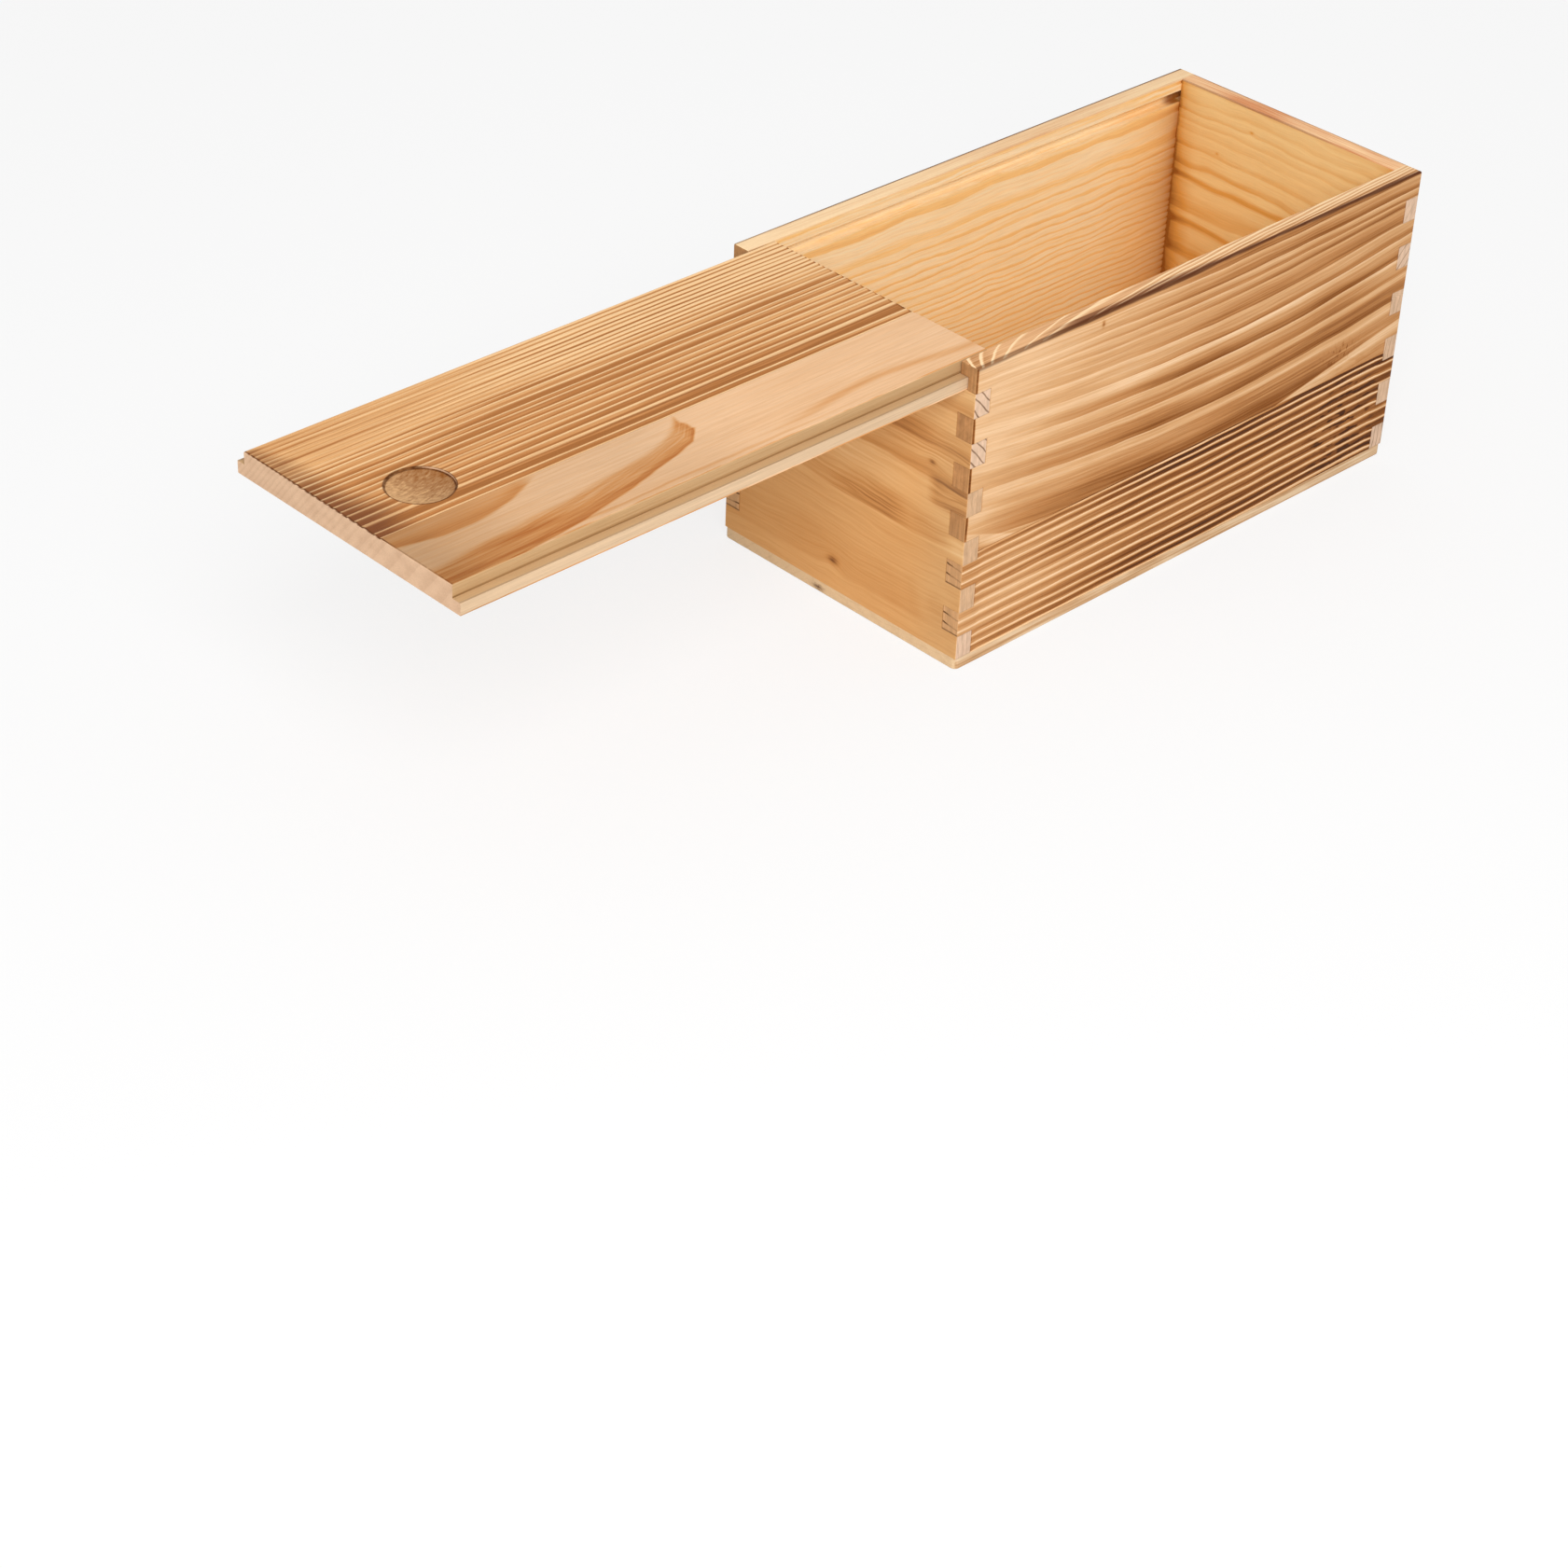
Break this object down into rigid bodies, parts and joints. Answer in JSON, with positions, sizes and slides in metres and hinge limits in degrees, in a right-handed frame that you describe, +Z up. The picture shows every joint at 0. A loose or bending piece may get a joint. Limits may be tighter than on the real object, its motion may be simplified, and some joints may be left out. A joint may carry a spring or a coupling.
{
  "type": "wooden box with a sliding lid",
  "caption": "Finger-jointed pine box with burned and brushed grain; a rabbeted lid with a thumb recess slides in grooves under the rim.",
  "frame": {"origin": "centre of the box's footprint, on the surface that it stands on", "axes": "+Z up, +X to the right, +Y along the lid's travel towards the closed end; the lid leaves towards -Y"},
  "size_m": [0.13, 0.4976, 0.131],
  "materials": {
    "side_pine": "burned and brushed pine, satin",
    "front_pine": "honey-coloured pine, satin",
    "back_pine": "honey-coloured pine, satin",
    "bottom_pine": "pale sanded pine",
    "lid_pine": "burned and brushed pine, satin"
  },
  "bodies": {
    "box": {"side_wall_left": "side_pine", "side_wall_right": "side_pine", "front_wall": "front_pine", "back_wall": "back_pine", "bottom_panel": "bottom_pine"},
    "lid": {"lid": "lid_pine"}
  },
  "joints": [
    {"name": "lid_slide", "type": "slide", "parent": "box", "child": "lid", "axis": [0, -1, 0], "range_m": [-0.2376, 0.024]}
  ]
}
